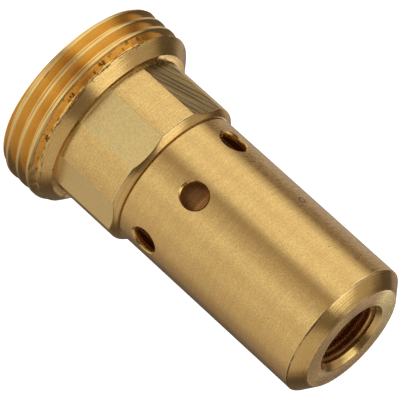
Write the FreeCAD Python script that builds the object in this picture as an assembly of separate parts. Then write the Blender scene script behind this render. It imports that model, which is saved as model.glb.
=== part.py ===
"""Vented piston-type water pressure regulator: a one-piece brass body and the cartridge inside it.

Millimetres, +Z up. The origin is the centre of the collar's back face, where the regulator stands.
+Z runs along the axis, from the threaded collar (inlet) to the nose (outlet port).
One flat of the neck and one vent of the upper row face -Y.
"""
import FreeCAD
import Part
import math
import os

Vector = FreeCAD.Vector
AXIS = Vector(0, 0, 1)
ORIGIN = Vector(0, 0, 0)

# ---- Body, outside ----
total_length = 48.7
collar_thread_pitch = 1.814          # parallel pipe thread, size 3/4
collar_thread_r = 13.22
collar_thread_depth = 1.162
collar_thread_length = 5.8
collar_thread_first_root_z = 0.6     # height of the first whole groove where it faces +X
collar_thread_end_z = 6.3            # where the groove runs out on the front cone
collar_back_chamfer = 0.73
collar_front_r = 11.3                # where the collar's front cone meets its front face
collar_length = 7.5
neck_r = 10.45
neck_flat_reach = 10.08              # from the axis to each milled flat
neck_flat_count = 6
neck_end_z = 17.65
neck_end_chamfer = 0.85
flat_step = 0.3                      # left unmilled beside the collar
barrel_r = 9.5
nose_bevel_length = 1.6
nose_face_r = 7.56

# ---- Body, vents ----
vent_r = 1.8
vent_deburr = 0.22
vent_low_row_z = 22.0
vent_high_row_z = 24.8

# ---- Body, inside ----
guide_bore_r = 9.5
guide_bore_depth = 7.0
guide_mouth_chamfer = 0.6
spring_bore_r = 8.7
spring_bore_past_vents = 0.6
bore_lead_length = 0.7
piston_bore_r = 8.2
nose_wall = 11.9                     # from the piston bore's floor to the nose's face

# ---- Outlet port ----
port_minor_r = 4.283                 # of a parallel pipe thread, size 1/8, left plain here
port_mouth_r = 5.22
port_mouth_depth = 1.2

# ---- Clearances ----
running_fit = 0.05                   # radial, sliding pieces and seals
seat_gap = 0.02                      # between faces that touch in use
press_allowance = 0.02               # radial, pieces held by another piece
free_gap = 0.35                      # around moving pieces that must not touch

# ---- Retaining ring and strainer ----
ring_z = 1.0
ring_thickness = 1.0
ring_inner_r = 8.3
ring_groove_depth = 0.6
ring_gap_angle = 34.0
ring_lug_r = 1.15
ring_lug_hole_r = 0.5
strainer_thickness = 0.35
strainer_dome_height = 1.5
strainer_hole_r = 0.42
strainer_hole_pitch = 1.35
strainer_hole_rows = 5

# ---- Seat ----
carrier_cup_wall = 0.5
carrier_floor = 0.5
carrier_hole_r = 1.45
carrier_hole_count = 6
seat_thickness = 1.0
seat_retainer_width = 0.65
seat_retainer_thickness = 0.4

# ---- Stem guide and its seals ----
guide_flange_thickness = 2.4
guide_recess_r = 6.4
guide_recess_depth = 1.4
guide_hub_wall = 0.7
guide_hub_height = 6.0
gland_depth = 3.4
guide_seal_width = 1.3
guide_seal_depth = 1.2
stem_seal_width = 1.4
backup_ring_width = 0.6
wiper_section = 0.7
wiper_width = 0.75

# ---- Spring ----
spring_wire_r = 0.8
spring_side_gap = 0.2
spring_active_turns = 6.5
spring_end_turns = 1.0
washer_thickness = 0.8
washer_edge_gap = 0.4
washer_stem_gap = 0.4
shim_thickness = 0.15
shim_count = 2

# ---- Piston ----
valve_lift = 1.6
head_length = 6.5
skirt_step = 0.55                    # the skirt is this much smaller in radius than the head
skirt_wall = 0.6
skirt_end_gap = 3.7                  # left under the skirt when the valve is closed
head_seal_width = 1.7
head_seal_depth = 1.25
head_seal_from_face = 1.6
wear_ring_width = 1.4
wear_ring_depth = 0.75
wear_ring_from_skirt = 0.8
stem_r = 2.8
stem_bore_r = 1.8
stem_neck_step = 0.45
stem_flange_step = 0.8
stem_flange_length = 2.0
stem_lip_step = 0.5
stem_tip_bevel = 0.7
head_web_from_floor = 1.0
stem_face_seal_width = 1.0
nut_recess_r = 5.0
nut_recess_depth = 1.9
nut_flat_width = 7.5
nut_height = 1.6

# ---- Stop ring ----
stop_ring_inner_r = 5.6
stop_ring_outer_r = 7.8
stop_ring_height = 1.2
stop_ring_sunk = 0.4
stop_ring_slot_width = 1.6
stop_ring_slot_count = 4


def solid_of_revolution(points):
    """Turns an outline of (radius, z) points about the axis."""
    corners = [Vector(radius, 0, z) for radius, z in points]
    outline = Part.makePolygon(corners + [corners[0]])
    return Part.Face(outline).revolve(ORIGIN, AXIS, 360)


def tube(outer_r, inner_r, bottom_z, top_z):
    """A plain ring or tube."""
    return solid_of_revolution([(inner_r, bottom_z), (outer_r, bottom_z), (outer_r, top_z), (inner_r, top_z)])


def rod(radius, bottom_z, top_z):
    """A plain cylinder on the axis."""
    return Part.makeCylinder(radius, top_z - bottom_z, Vector(0, 0, bottom_z), AXIS)


def seal_ring(outer_r, inner_r, bottom_z, top_z):
    """A soft ring, squeezed into its gland, with rounded corners."""
    ring = tube(outer_r, inner_r, bottom_z, top_z)
    rounding = 0.3 * min(outer_r - inner_r, top_z - bottom_z)
    return ring.makeFillet(rounding, [edge for edge in ring.Edges if edge.Curve.TypeId == "Part::GeomCircle"])


def turned_copies(shape, count, first_angle=0.0):
    """Copies of a shape, spaced evenly round the axis."""
    copies = []
    for index in range(count):
        copy = shape.copy()
        copy.rotate(ORIGIN, AXIS, first_angle + index * 360.0 / count)
        copies.append(copy)
    return copies


def helical_cutter(pitch, root_r, mouth_r, bottom_z, top_z):
    """A 55 degree V that runs along a right-hand helix, with its point at root_r and its base at mouth_r."""
    helix = Part.makeHelix(pitch, top_z - bottom_z, root_r)
    helix.translate(Vector(0, 0, bottom_z))
    half_base = abs(mouth_r - root_r) * math.tan(math.radians(27.5))
    root_flat = 0.06 * pitch
    section = Part.makePolygon([
        Vector(root_r, 0, bottom_z - root_flat),
        Vector(mouth_r, 0, bottom_z - root_flat - half_base),
        Vector(mouth_r, 0, bottom_z + root_flat + half_base),
        Vector(root_r, 0, bottom_z + root_flat),
        Vector(root_r, 0, bottom_z - root_flat),
    ])
    sweep = Part.BRepOffsetAPI.MakePipeShell(Part.Wire(helix.Edges))
    sweep.setFrenetMode(True)
    sweep.add(section)
    sweep.build()
    sweep.makeSolid()
    return sweep.shape()


# ---- Radii and heights that follow from the sizes above ----
head_r = piston_bore_r - running_fit
skirt_r = head_r - skirt_step
skirt_inner_r = skirt_r - skirt_wall
spring_mean_r = skirt_inner_r - spring_side_gap - spring_wire_r
guide_hub_r = spring_mean_r - spring_wire_r - free_gap
gland_r = guide_hub_r - guide_hub_wall
wiper_r = stem_r + wiper_section
stem_neck_r = stem_r - stem_neck_step
stem_flange_r = stem_r + stem_flange_step
stem_lip_r = stem_r - stem_lip_step
seat_retainer_inner_r = stem_r + free_gap
seat_r = seat_retainer_inner_r + seat_retainer_width
spring_bore_end_z = vent_high_row_z + vent_r + spring_bore_past_vents
piston_bore_end_z = total_length - nose_wall
ring_groove_top = ring_z + ring_thickness + press_allowance
strainer_rim_z = ring_groove_top
carrier_z = strainer_rim_z + strainer_thickness
guide_z = guide_bore_depth - guide_flange_thickness
seat_z = carrier_z + carrier_floor
seat_face_z = seat_z + seat_thickness
stem_tip_z = seat_face_z + seat_gap + valve_lift
gland_top_z = guide_bore_depth + guide_hub_height
gland_floor_z = gland_top_z - gland_depth
fixed_washer_top = guide_bore_depth + washer_thickness
shims_top = fixed_washer_top + shim_count * (shim_thickness + seat_gap)
head_face_z = piston_bore_end_z + stop_ring_sunk - stop_ring_height - seat_gap
head_bottom_z = head_face_z - head_length
head_floor_z = head_bottom_z + head_web_from_floor
spring_bottom_z = shims_top + seat_gap
spring_top_z = head_floor_z - washer_thickness - seat_gap
nut_floor_z = head_face_z - nut_recess_depth
skirt_bottom_z = shims_top + valve_lift + skirt_end_gap
nose_bevel_z = total_length - nose_bevel_length


def make_body():
    """The one-piece body: collar, neck, barrel, nose and every bore."""
    outline = [
        (0, 0),
        (collar_thread_r - collar_back_chamfer, 0),
        (collar_thread_r, collar_back_chamfer),
        (collar_thread_r, collar_thread_length),
        (collar_front_r, collar_length),
        (neck_r, collar_length),
        (neck_r, neck_end_z - neck_end_chamfer),
        (neck_r - neck_end_chamfer, neck_end_z),
        (barrel_r, neck_end_z),
        (barrel_r, nose_bevel_z),
        (nose_face_r, total_length),
        (0, total_length),
    ]
    body = solid_of_revolution(outline)
    groove = helical_cutter(
        collar_thread_pitch,
        collar_thread_r - collar_thread_depth,
        collar_thread_r + 0.1 * collar_thread_depth,
        collar_thread_first_root_z - 2 * collar_thread_pitch,
        collar_thread_end_z,
    )
    body = body.cut(groove)
    flat_bottom = collar_length + flat_step
    chip = Part.makeBox(
        2 * neck_r,
        neck_r,
        neck_end_z - flat_bottom,
        Vector(-neck_r, -neck_flat_reach - neck_r, flat_bottom),
    )
    chip = chip.cut(rod(barrel_r, flat_bottom, neck_end_z))
    body = body.cut(turned_copies(chip, neck_flat_count))
    body = body.cut(make_bores())
    return body.cut(make_vent_drills())


def make_bores():
    """Everything that is turned out of the body's inside. The port is left at its thread's minor radius."""
    lead_end = spring_bore_end_z + bore_lead_length
    return solid_of_revolution([
        (0, 0),
        (guide_bore_r + guide_mouth_chamfer, 0),
        (guide_bore_r, guide_mouth_chamfer),
        (guide_bore_r, ring_z - press_allowance),
        (guide_bore_r + ring_groove_depth, ring_z - press_allowance),
        (guide_bore_r + ring_groove_depth, ring_groove_top),
        (guide_bore_r, ring_groove_top),
        (guide_bore_r, guide_bore_depth),
        (spring_bore_r, guide_bore_depth),
        (spring_bore_r, spring_bore_end_z),
        (piston_bore_r, lead_end),
        (piston_bore_r, piston_bore_end_z),
        (stop_ring_outer_r + press_allowance, piston_bore_end_z),
        (stop_ring_outer_r + press_allowance, piston_bore_end_z + stop_ring_sunk),
        (stop_ring_inner_r - press_allowance, piston_bore_end_z + stop_ring_sunk),
        (stop_ring_inner_r - press_allowance, piston_bore_end_z),
        (port_minor_r, piston_bore_end_z),
        (port_minor_r, total_length - port_mouth_depth),
        (port_mouth_r, total_length),
        (0, total_length),
    ])


def make_vent_drills():
    """Six radial drills with a small deburring cone: three in each row, in turn round the barrel."""
    drills = []
    drill = Part.makeCylinder(vent_r, barrel_r, Vector(0, 0, 0), Vector(0, -1, 0))
    cone_start = barrel_r - vent_deburr
    cone_length = 3 * vent_deburr
    outward = Vector(0, -1, 0)
    deburr = Part.makeCone(vent_r, vent_r + cone_length, cone_length, Vector(0, -cone_start, 0), outward)
    for row, row_z in enumerate([vent_high_row_z, vent_low_row_z]):
        for cutter in (drill, deburr):
            raised = cutter.copy()
            raised.translate(Vector(0, 0, row_z))
            drills.extend(turned_copies(raised, 3, 60.0 * row))
    return drills


def make_retaining_ring():
    """Internal circlip: an open ring with a holed lug at each end."""
    outer_r = guide_bore_r + ring_groove_depth - press_allowance
    top = ring_z + ring_thickness
    ring = tube(outer_r, ring_inner_r, ring_z, top)
    lug_r = ring_inner_r + 0.35 * ring_lug_r
    half_gap = math.radians(ring_gap_angle / 2)
    mouth = Part.makePolygon([
        Vector(0, 0, ring_z),
        Vector(2 * outer_r * math.sin(half_gap), 2 * outer_r * math.cos(half_gap), ring_z),
        Vector(-2 * outer_r * math.sin(half_gap), 2 * outer_r * math.cos(half_gap), ring_z),
        Vector(0, 0, ring_z),
    ])
    ring = ring.cut(Part.Face(mouth).extrude(Vector(0, 0, ring_thickness)))
    for side in (-1, 1):
        angle = side * (half_gap + ring_lug_r / lug_r)
        centre = Vector(lug_r * math.sin(angle), lug_r * math.cos(angle), ring_z)
        lug = Part.makeCylinder(ring_lug_r, ring_thickness, centre, AXIS)
        hole = Part.makeCylinder(ring_lug_hole_r, ring_thickness, centre, AXIS)
        ring = ring.fuse(lug).cut(hole)
    return ring.removeSplitter()


def make_inlet_strainer():
    """Perforated dome with a flat rim, clamped between the retaining ring and the seat carrier."""
    rim_r = guide_bore_r - running_fit
    dome_r = ring_inner_r - ring_lug_r - free_gap
    sphere_r = (dome_r ** 2 + strainer_dome_height ** 2) / (2 * strainer_dome_height)
    centre = Vector(0, 0, carrier_z - strainer_dome_height + sphere_r)
    shell = Part.makeSphere(sphere_r, centre).cut(Part.makeSphere(sphere_r - strainer_thickness, centre))
    dome = shell.common(rod(dome_r, strainer_rim_z - 2 * strainer_dome_height, carrier_z))
    strainer = dome.fuse(tube(rim_r, dome_r - strainer_thickness, strainer_rim_z, carrier_z))
    holes = []
    for row in range(1, strainer_hole_rows):
        row_r = row * strainer_hole_pitch
        start = Vector(row_r, 0, -strainer_dome_height)
        drill = Part.makeCylinder(strainer_hole_r, 3 * strainer_dome_height, start, AXIS)
        holes.extend(turned_copies(drill, 6 * row))
    holes.append(rod(strainer_hole_r, -strainer_dome_height, carrier_z))
    return strainer.cut(holes).removeSplitter()


def make_seat_carrier():
    """Disc with a cup for the valve seat in its middle and flow holes round it."""
    cup_inner_r = seat_r + press_allowance
    cup_outer_r = cup_inner_r + carrier_cup_wall
    carrier = solid_of_revolution([
        (0, carrier_z),
        (guide_bore_r - running_fit, carrier_z),
        (guide_bore_r - running_fit, guide_z),
        (cup_outer_r, guide_z),
        (cup_inner_r, guide_z),
        (cup_inner_r, seat_z),
        (0, seat_z),
    ])
    hole_ring_r = cup_outer_r + 0.5 * (guide_recess_r - cup_outer_r) + 0.35 * carrier_hole_r
    drill = Part.makeCylinder(carrier_hole_r, guide_z - carrier_z, Vector(hole_ring_r, 0, carrier_z), AXIS)
    return carrier.cut(turned_copies(drill, carrier_hole_count))


def make_seat_retainer():
    """Ring that keeps the seat in its cup."""
    return tube(seat_r, seat_retainer_inner_r, seat_face_z, seat_face_z + seat_retainer_thickness)


def make_stem_guide():
    """Flanged guide on the body's shoulder: its hub carries the stem seal and locates the spring."""
    flange_r = guide_bore_r - running_fit
    groove_r = flange_r - guide_seal_depth
    groove_z = guide_z + 0.5 * (guide_flange_thickness - guide_seal_width)
    bore_r = stem_r + running_fit
    return solid_of_revolution([
        (guide_recess_r, guide_z),
        (flange_r, guide_z),
        (flange_r, groove_z),
        (groove_r, groove_z),
        (groove_r, groove_z + guide_seal_width),
        (flange_r, groove_z + guide_seal_width),
        (flange_r, guide_bore_depth),
        (guide_hub_r, guide_bore_depth),
        (guide_hub_r, gland_top_z),
        (gland_r, gland_top_z),
        (gland_r, gland_floor_z),
        (bore_r, gland_floor_z),
        (bore_r, guide_z + guide_recess_depth),
        (guide_recess_r, guide_z + guide_recess_depth),
    ])


def make_guide_seal():
    """Seal between the stem guide and the body."""
    middle_z = guide_z + 0.5 * guide_flange_thickness
    half_width = 0.5 * guide_seal_width - press_allowance
    inner_r = guide_bore_r - running_fit - guide_seal_depth + press_allowance
    return seal_ring(guide_bore_r - press_allowance, inner_r, middle_z - half_width, middle_z + half_width)


def make_stem_seal():
    """Seal that keeps inlet water out of the spring chamber."""
    bottom = gland_floor_z + press_allowance
    return seal_ring(gland_r - press_allowance, stem_r + 0.5 * running_fit, bottom, bottom + stem_seal_width)


def backup_ring_z():
    """Underside of the backup ring."""
    return gland_floor_z + stem_seal_width + 2 * press_allowance


def make_stem_backup_ring():
    """Hard ring on the dry side of the stem seal."""
    bottom = backup_ring_z()
    return tube(gland_r - press_allowance, stem_r + running_fit, bottom, bottom + backup_ring_width)


def make_gland_ring():
    """Ring pressed into the hub over the stem seal, with a pocket for the wiper."""
    bottom = backup_ring_z() + backup_ring_width + press_allowance
    pocket_z = gland_top_z - wiper_width - press_allowance
    return solid_of_revolution([
        (stem_r + running_fit, bottom),
        (gland_r - press_allowance, bottom),
        (gland_r - press_allowance, gland_top_z),
        (wiper_r, gland_top_z),
        (wiper_r, pocket_z),
        (stem_r + running_fit, pocket_z),
    ])


def make_stem_wiper():
    """Soft ring that keeps dirt from the vents off the stem seal."""
    bottom = gland_top_z - wiper_width
    return seal_ring(wiper_r - press_allowance, stem_r + 0.5 * running_fit, bottom, gland_top_z)


def make_fixed_washer():
    """Hard seat under the spring's lower end."""
    outer_r = spring_bore_r - washer_edge_gap
    return tube(outer_r, guide_hub_r + 0.5 * running_fit, guide_bore_depth, fixed_washer_top)


def make_shims():
    """Thin washers that set the preload, as separate solids."""
    outer_r = spring_bore_r - washer_edge_gap
    shims = []
    for index in range(shim_count):
        bottom = fixed_washer_top + seat_gap + index * (shim_thickness + seat_gap)
        shims.append(tube(outer_r, guide_hub_r + 0.5 * running_fit, bottom, bottom + shim_thickness))
    return Part.makeCompound(shims)


def make_spring():
    """Compression spring with closed, ground ends."""
    wire_d = 2 * spring_wire_r
    bottom = spring_bottom_z
    height = spring_top_z - spring_bottom_z
    closed_rise = spring_end_turns * wire_d * 1.04
    active_rise = height - 2 * closed_rise
    turns = spring_active_turns + 2 * spring_end_turns
    steps_per_turn = 24
    points = []
    for step in range(int(turns * steps_per_turn) + 1):
        turn = step / steps_per_turn
        if turn < spring_end_turns:
            rise = closed_rise * turn / spring_end_turns
        elif turn > turns - spring_end_turns:
            rise = height - closed_rise * (turns - turn) / spring_end_turns
        else:
            share = (turn - spring_end_turns) / spring_active_turns
            rise = closed_rise + active_rise * share
        angle = 2 * math.pi * turn
        points.append(Vector(spring_mean_r * math.cos(angle), spring_mean_r * math.sin(angle), bottom + rise))
    path = Part.BSplineCurve()
    path.interpolate(points)
    start_direction = path.tangent(path.FirstParameter)[0]
    section = Part.Wire(Part.Circle(points[0], start_direction, spring_wire_r).toShape())
    sweep = Part.BRepOffsetAPI.MakePipeShell(Part.Wire(path.toShape()))
    sweep.setFrenetMode(False)
    sweep.setBiNormalMode(AXIS)
    sweep.add(section)
    sweep.build()
    sweep.makeSolid()
    wire = sweep.shape()
    return wire.common(rod(spring_mean_r + wire_d, bottom, bottom + height))


def make_moving_washer():
    """Hard seat over the spring's upper end, inside the piston's skirt."""
    outer_r = skirt_inner_r - running_fit
    return tube(outer_r, stem_r + washer_stem_gap, head_floor_z - washer_thickness, head_floor_z)


def make_piston_head():
    """Piston head with its seal grooves, the skirt round the spring and the recess for the nut."""
    seal_top = head_face_z - head_seal_from_face
    seal_bottom = seal_top - head_seal_width
    band_bottom = head_bottom_z + wear_ring_from_skirt
    band_top = band_bottom + wear_ring_width
    flange_top = head_floor_z + stem_flange_length
    face_seal_top = flange_top + stem_face_seal_width
    pocket_r = stem_flange_r + press_allowance
    return solid_of_revolution([
        (skirt_inner_r, skirt_bottom_z),
        (skirt_r, skirt_bottom_z),
        (skirt_r, head_bottom_z),
        (head_r, head_bottom_z),
        (head_r, band_bottom),
        (head_r - wear_ring_depth, band_bottom),
        (head_r - wear_ring_depth, band_top),
        (head_r, band_top),
        (head_r, seal_bottom),
        (head_r - head_seal_depth, seal_bottom),
        (head_r - head_seal_depth, seal_top),
        (head_r, seal_top),
        (head_r, head_face_z),
        (nut_recess_r, head_face_z),
        (nut_recess_r, nut_floor_z),
        (stem_neck_r + press_allowance, nut_floor_z),
        (stem_neck_r + press_allowance, face_seal_top),
        (pocket_r - 2 * press_allowance, face_seal_top),
        (pocket_r - 2 * press_allowance, flange_top),
        (pocket_r, flange_top),
        (pocket_r, head_floor_z),
        (skirt_inner_r, head_floor_z),
    ])


def make_piston_seal():
    """Seal of the piston head in its bore."""
    top = head_face_z - head_seal_from_face - press_allowance
    bottom = head_face_z - head_seal_from_face - head_seal_width + press_allowance
    inner_r = head_r - head_seal_depth + press_allowance
    return seal_ring(piston_bore_r - 0.5 * running_fit, inner_r, bottom, top)


def make_wear_ring():
    """Guide band of the piston head."""
    bottom = head_bottom_z + wear_ring_from_skirt + press_allowance
    top = bottom + wear_ring_width - 2 * press_allowance
    inner_r = head_r - wear_ring_depth + press_allowance
    return tube(piston_bore_r - 0.5 * running_fit, inner_r, bottom, top)


def make_stem():
    """Hollow stem: the sharp lip at its lower end closes on the seat, and water flows through it."""
    flange_top = head_floor_z + stem_flange_length - press_allowance
    stem_top = nut_floor_z + nut_height
    return solid_of_revolution([
        (stem_lip_r - 0.1, stem_tip_z),
        (stem_lip_r, stem_tip_z),
        (stem_r, stem_tip_z + stem_tip_bevel),
        (stem_r, head_floor_z - washer_thickness),
        (stem_r, head_floor_z),
        (stem_flange_r, head_floor_z),
        (stem_flange_r, flange_top),
        (stem_neck_r, flange_top),
        (stem_neck_r, stem_top),
        (stem_bore_r, stem_top),
        (stem_bore_r, stem_tip_z + stem_tip_bevel),
    ])


def make_stem_head_seal():
    """Seal between the stem's flange and the head."""
    bottom = head_floor_z + stem_flange_length
    top = bottom + stem_face_seal_width - press_allowance
    return seal_ring(stem_flange_r - 2 * press_allowance, stem_neck_r + press_allowance, bottom, top)


def make_stem_nut():
    """Hexagon nut that clamps the head on the stem."""
    corner_r = 0.5 * nut_flat_width / math.cos(math.radians(30))
    corners = []
    for index in range(7):
        angle = math.radians(60 * index)
        corners.append(Vector(corner_r * math.cos(angle), corner_r * math.sin(angle), nut_floor_z))
    block = Part.Face(Part.makePolygon(corners)).extrude(Vector(0, 0, nut_height))
    return block.cut(rod(stem_neck_r + press_allowance, nut_floor_z, nut_floor_z + nut_height))


def make_stop_ring():
    """Slotted ring sunk in the bore's floor: the head rests on it when the valve is open."""
    bottom = head_face_z + seat_gap
    ring = tube(stop_ring_outer_r, stop_ring_inner_r, bottom, bottom + stop_ring_height)
    slot_depth = stop_ring_height - stop_ring_sunk
    slot = Part.makeBox(
        stop_ring_outer_r + 1,
        stop_ring_slot_width,
        slot_depth,
        Vector(0, -0.5 * stop_ring_slot_width, bottom),
    )
    return ring.cut(turned_copies(slot, stop_ring_slot_count))


pieces = {
    "body": make_body(),
    "retaining_ring": make_retaining_ring(),
    "inlet_strainer": make_inlet_strainer(),
    "seat_carrier": make_seat_carrier(),
    "valve_seat": rod(seat_r, seat_z, seat_face_z),
    "seat_retainer": make_seat_retainer(),
    "stem_guide": make_stem_guide(),
    "guide_seal": make_guide_seal(),
    "stem_seal": make_stem_seal(),
    "stem_backup_ring": make_stem_backup_ring(),
    "gland_ring": make_gland_ring(),
    "stem_wiper": make_stem_wiper(),
    "spring_washer_fixed": make_fixed_washer(),
    "spring_shims": make_shims(),
    "main_spring": make_spring(),
    "spring_washer_moving": make_moving_washer(),
    "piston_head": make_piston_head(),
    "piston_seal": make_piston_seal(),
    "piston_wear_ring": make_wear_ring(),
    "piston_stem": make_stem(),
    "stem_head_seal": make_stem_head_seal(),
    "stem_nut": make_stem_nut(),
    "stop_ring": make_stop_ring(),
}

os.makedirs("parts", exist_ok=True)
for node, shape in pieces.items():
    shape.exportStep("parts/" + node + ".step")
    print(node, "solids", len(shape.Solids), "valid", shape.isValid(), "volume", round(shape.Volume, 2))
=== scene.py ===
"""Looks of a brass inline water pressure regulator: body mesh, finishes, studio and camera."""
import math

import bmesh
import bpy
from mathutils import Matrix, Vector, noise


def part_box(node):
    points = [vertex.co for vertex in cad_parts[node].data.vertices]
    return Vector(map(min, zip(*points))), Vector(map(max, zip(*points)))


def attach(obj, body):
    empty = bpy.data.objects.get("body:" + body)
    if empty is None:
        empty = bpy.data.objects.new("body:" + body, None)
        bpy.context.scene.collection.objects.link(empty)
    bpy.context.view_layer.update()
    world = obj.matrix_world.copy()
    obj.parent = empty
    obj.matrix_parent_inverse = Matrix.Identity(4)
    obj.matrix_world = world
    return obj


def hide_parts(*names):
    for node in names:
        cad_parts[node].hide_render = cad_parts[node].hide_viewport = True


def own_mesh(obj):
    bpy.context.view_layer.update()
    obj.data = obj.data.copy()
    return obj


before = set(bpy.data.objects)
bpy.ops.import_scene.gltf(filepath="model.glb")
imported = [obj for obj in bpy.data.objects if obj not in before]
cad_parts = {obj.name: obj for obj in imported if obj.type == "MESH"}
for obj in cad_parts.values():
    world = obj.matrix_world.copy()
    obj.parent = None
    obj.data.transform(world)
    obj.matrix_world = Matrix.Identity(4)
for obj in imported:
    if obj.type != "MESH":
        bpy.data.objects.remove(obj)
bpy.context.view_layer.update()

bl_info = {
    "name": "Brass Pressure Regulator",
    "version": (1, 0, 0),
    "blender": (4, 5, 0),
    "location": "3D View > Sidebar > Regulator",
    "description": "Builds the regulator's turned body, its metal, rubber and plastic finishes, and a small studio",
    "category": "Object",
}

MM = 0.001
TURN = 2 * math.pi
BODY_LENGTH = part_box("body")[1].z / MM
COLLAR_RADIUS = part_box("body")[1].x / MM
STOP_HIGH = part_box("stop_ring")[1].z / MM
GUIDE_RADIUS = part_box("stem_guide")[1].x / MM
GUIDE_TOP_OF_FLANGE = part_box("spring_washer_fixed")[0].z / MM
RING_LOW, RING_HIGH = (corner.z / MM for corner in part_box("retaining_ring"))
RING_RADIUS = -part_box("retaining_ring")[0].y / MM
COIL_LOW, COIL_HIGH = (corner.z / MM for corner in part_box("main_spring"))
COIL_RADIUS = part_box("main_spring")[1].x / MM

# Marks of use, and where a painted highlight and painted shade sit on the nose face: angles from -Y in degrees, towards
# +X, and heights and sizes in millimetres.
POCK_ANGLE, POCK_HEIGHT, POCK_RADIUS = -61.8, 33.6, 0.40
CHATTER_ANGLE = -66
# Painted highlight: the nose face is painted paler round this angle.
PAINTED_HIGHLIGHT_ANGLE = -112
# Painted shade: the nose face is painted darker round these angles, each with its share.
PAINTED_SHADE_ANGLES = ((-38, 1.0), (128, 0.7))
CORNER_LINE_ANGLE = 48
# The port's rim nicks: angle from +X in degrees, half width in radians, and depth.
RIM_NICKS = ((161, 0.13, 0.9), (3, 0.16, 0.6))
# Painted glow on the cartridge's brass pieces, standing in for light that the bore passes on from vent to vent, as a
# share of a surface's own colour.
PAINTED_INNER_GLOW = 0.16
# Places on the body that get a finish of their own, in the order of its material slots.
ZONES = ["barrel", "thread", "flats", "faces", "bores", "port"]


class ThreadSizes(bpy.types.PropertyGroup):
    """The two pipe threads, in millimetres."""

    collar_pitch: bpy.props.FloatProperty(name="Collar Pitch", description="Pitch of the outside thread", default=1.814)
    collar_depth: bpy.props.FloatProperty(name="Collar Depth", description="Depth of the outside thread", default=1.162)
    collar_first_root: bpy.props.FloatProperty(
        name="First Root", description="Height of the first whole groove where it faces +X", default=0.6
    )
    collar_end: bpy.props.FloatProperty(
        name="Thread End", description="Height where the groove runs out on the front cone", default=6.3
    )
    port_pitch: bpy.props.FloatProperty(name="Port Pitch", description="Pitch of the port's thread", default=0.907)
    port_depth: bpy.props.FloatProperty(name="Port Depth", description="Depth of the port's thread", default=0.581)
    port_minor_radius: bpy.props.FloatProperty(
        name="Port Minor Radius", description="Radius of the port's drilled hole", default=4.283
    )
    port_thread_length: bpy.props.FloatProperty(
        name="Port Thread Length", description="Tapped depth under the lead-in cone", default=9.0
    )
    burr: bpy.props.FloatProperty(name="Burr", description="Raggedness where the groove runs out", default=0.14)


class BodySizes(bpy.types.PropertyGroup):
    """Outline of the turned body, in millimetres."""

    back_chamfer: bpy.props.FloatProperty(name="Back Chamfer", description="Chamfer at the collar's back", default=0.73)
    thread_length: bpy.props.FloatProperty(
        name="Collar Land", description="Height at which the front cone starts", default=5.8
    )
    collar_length: bpy.props.FloatProperty(
        name="Collar Length", description="Height of the collar's front face", default=7.5
    )
    collar_front_radius: bpy.props.FloatProperty(
        name="Front Radius", description="Radius at the end of the front cone", default=11.3
    )
    neck_radius: bpy.props.FloatProperty(name="Neck Radius", description="Turned radius of the neck", default=10.45)
    flat_reach: bpy.props.FloatProperty(name="Flat Reach", description="From the axis to a milled flat", default=10.08)
    flat_step: bpy.props.FloatProperty(name="Flat Step", description="Left unmilled beside the collar", default=0.3)
    neck_end: bpy.props.FloatProperty(name="Neck End", description="Height at which the barrel starts", default=17.65)
    neck_chamfer: bpy.props.FloatProperty(name="Neck Chamfer", description="Chamfer at the neck's end", default=0.85)
    barrel_radius: bpy.props.FloatProperty(name="Barrel Radius", description="Radius of the barrel", default=9.5)
    bevel_length: bpy.props.FloatProperty(name="Nose Bevel", description="Length of the nose's bevel", default=1.6)
    nose_radius: bpy.props.FloatProperty(name="Nose Radius", description="Outer radius of the nose face", default=7.56)
    mouth_radius: bpy.props.FloatProperty(name="Mouth Radius", description="Radius of the port's mouth", default=5.22)
    mouth_depth: bpy.props.FloatProperty(name="Mouth Depth", description="Depth of the lead-in cone", default=1.2)
    edge_radius: bpy.props.FloatProperty(name="Edge Radius", description="Broken edges of the body", default=0.07)
    vent_radius: bpy.props.FloatProperty(name="Vent Radius", description="Radius of a vent", default=1.8)
    vent_deburr: bpy.props.FloatProperty(name="Vent Deburr", description="Width of a vent's broken rim", default=0.32)
    vent_low_row: bpy.props.FloatProperty(name="Lower Vents", description="Height of the lower row", default=22.0)
    vent_high_row: bpy.props.FloatProperty(name="Upper Vents", description="Height of the upper row", default=24.8)
    columns: bpy.props.IntProperty(name="Columns", description="Faces round the body", default=288, min=48)


class CoilSizes(bpy.types.PropertyGroup):
    """Wire and turns of the main spring, in millimetres."""

    wire_radius: bpy.props.FloatProperty(name="Wire Radius", description="Radius of the round wire", default=0.8)
    active_turns: bpy.props.FloatProperty(name="Active Turns", description="Turns that work", default=6.5)
    closed_turns: bpy.props.FloatProperty(
        name="Closed Turns", description="Turns that lie closed at each end", default=1.0
    )
    travel: bpy.props.FloatProperty(name="Travel", description="How far the piston squeezes the spring", default=1.6)


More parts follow.
